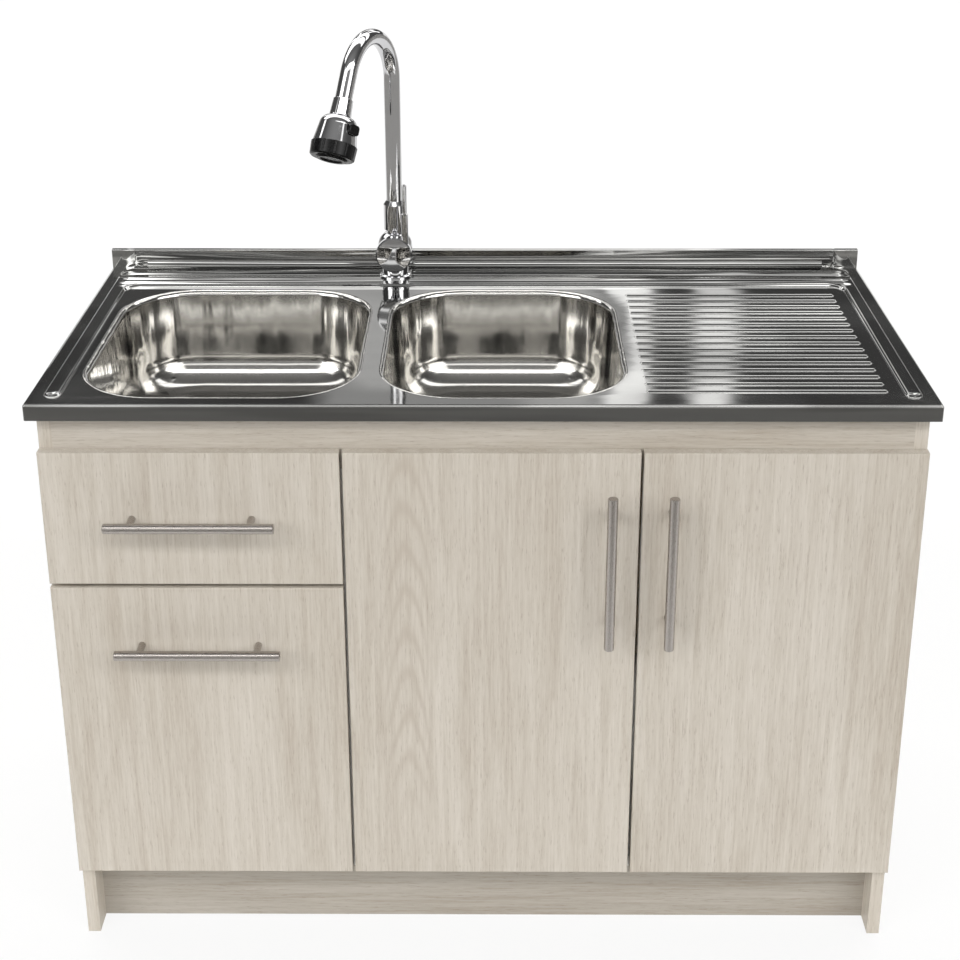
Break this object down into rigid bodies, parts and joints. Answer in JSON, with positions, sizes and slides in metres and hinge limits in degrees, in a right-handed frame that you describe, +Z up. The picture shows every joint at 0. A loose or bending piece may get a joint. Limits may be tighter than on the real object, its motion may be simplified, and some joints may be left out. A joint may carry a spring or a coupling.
{
  "type": "kitchen sink unit",
  "caption": "Free-standing kitchen base cabinet with drawers and doors, a lay-on steel sink with bowls and a ribbed drainer, and a gooseneck mixer tap with a spray head.",
  "frame": {"origin": "centre of the footprint on the floor, handles included", "axes": "+X to the right seen from the front, +Y to the wall, +Z up"},
  "size_m": [1.2, 0.6384, 1.2565],
  "materials": {
    "oak_laminate": "satin whitewashed oak laminate, grain upright",
    "white_board": "matt white laminated chipboard",
    "hardboard": "thin painted hardboard",
    "zinc_steel": "zinc-plated steel",
    "stainless": "polished stainless steel sheet",
    "white_plastic": "white polypropylene",
    "brushed_handle": "satin brushed steel",
    "chrome": "bright chrome",
    "brass": "turned brass",
    "black_plastic": "black plastic",
    "rubber": "black rubber"
  },
  "bodies": {
    "cabinet": {"left_gable": "oak_laminate", "right_gable": "oak_laminate", "divider": "white_board", "base_panel": "white_board", "front_rail": "oak_laminate", "rear_rail": "white_board", "plinth": "oak_laminate", "back_panel": "hardboard", "runner_channels": "zinc_steel", "hinge_arms": "zinc_steel", "sink_top": "stainless", "left_bowl": "stainless", "right_bowl": "stainless", "left_waste_flange": "stainless", "right_waste_flange": "stainless", "left_waste_body": "white_plastic", "right_waste_body": "white_plastic", "drain_pipe": "white_plastic", "trap_inlet": "white_plastic", "trap_body": "white_plastic", "trap_cup": "white_plastic", "trap_outlet": "white_plastic", "tap_base": "chrome", "tap_shank": "brass", "tap_washer": "rubber", "tap_nut": "zinc_steel"},
    "top_drawer": {"top_drawer_front": "oak_laminate", "top_drawer_handle": "brushed_handle", "top_drawer_sides": "white_board", "top_drawer_backs": "white_board", "top_drawer_notch_panels": "white_board", "top_drawer_base": "hardboard", "top_drawer_runners": "zinc_steel"},
    "bottom_drawer": {"bottom_drawer_front": "oak_laminate", "bottom_drawer_handle": "brushed_handle", "bottom_drawer_sides": "white_board", "bottom_drawer_back": "white_board", "bottom_drawer_base": "hardboard", "bottom_drawer_runners": "zinc_steel"},
    "middle_door": {"middle_door": "oak_laminate", "middle_door_handle": "brushed_handle", "middle_door_hinge_cups": "zinc_steel"},
    "right_door": {"right_door": "oak_laminate", "right_door_handle": "brushed_handle", "right_door_hinge_cups": "zinc_steel"},
    "left_basket": {"left_basket": "stainless"},
    "right_basket": {"right_basket": "stainless"},
    "cartridge_stem": {"mixer_stem": "brass"},
    "mixer_handle": {"mixer_cap": "chrome", "mixer_lever": "chrome"},
    "spout": {"spout_sleeve": "chrome", "spout_pipe": "chrome", "spout_collar": "chrome"},
    "spray_head": {"spray_head": "chrome", "spray_ring": "black_plastic", "spray_nozzle": "black_plastic"},
    "diverter_button": {"diverter_button": "black_plastic"}
  },
  "joints": [
    {"name": "top_drawer_slide", "type": "slide", "parent": "cabinet", "child": "top_drawer", "axis": [0, -1, 0], "range_m": [0, 0.3]},
    {"name": "bottom_drawer_slide", "type": "slide", "parent": "cabinet", "child": "bottom_drawer", "axis": [0, -1, 0], "range_m": [0, 0.3]},
    {"name": "middle_door_hinge", "type": "hinge", "parent": "cabinet", "child": "middle_door", "pos_m": [-0.185, -0.28225, 0.453], "axis": [0, 0, -1], "range_deg": [0, 90]},
    {"name": "right_door_hinge", "type": "hinge", "parent": "cabinet", "child": "right_door", "pos_m": [0.587, -0.28225, 0.453], "axis": [0, 0, 1], "range_deg": [0, 105]},
    {"name": "left_basket_lift", "type": "slide", "parent": "cabinet", "child": "left_basket", "axis": [0, 0, 1], "range_m": [0, 0.06]},
    {"name": "right_basket_lift", "type": "slide", "parent": "cabinet", "child": "right_basket", "axis": [0, 0, 1], "range_m": [0, 0.06]},
    {"name": "mixer_turn", "type": "hinge", "parent": "cabinet", "child": "cartridge_stem", "pos_m": [-0.14, 0.23125, 0.9025], "axis": [0, -1, 0], "range_deg": [-45, 45]},
    {"name": "mixer_tip", "type": "hinge", "parent": "cartridge_stem", "child": "mixer_handle", "pos_m": [-0.14, 0.23125, 0.9025], "axis": [1, 0, 0], "range_deg": [0, 18]},
    {"name": "spout_swivel", "type": "hinge", "parent": "cabinet", "child": "spout", "pos_m": [-0.14, 0.25525, 0.933], "axis": [0, 0, 1], "range_deg": [-67, 112]},
    {"name": "spray_head_swivel", "type": "hinge", "parent": "spout", "child": "spray_head", "pos_m": [-0.20664, 0.09595, 1.14652], "axis": [-0.1847, -0.4416, -0.878], "range_deg": [-180, 180]},
    {"name": "diverter_press", "type": "slide", "parent": "spray_head", "child": "diverter_button", "axis": [-0.8034, 0.5824, -0.1239], "range_m": [0, 0.002], "stiffness_N_per_m": 250}
  ]
}
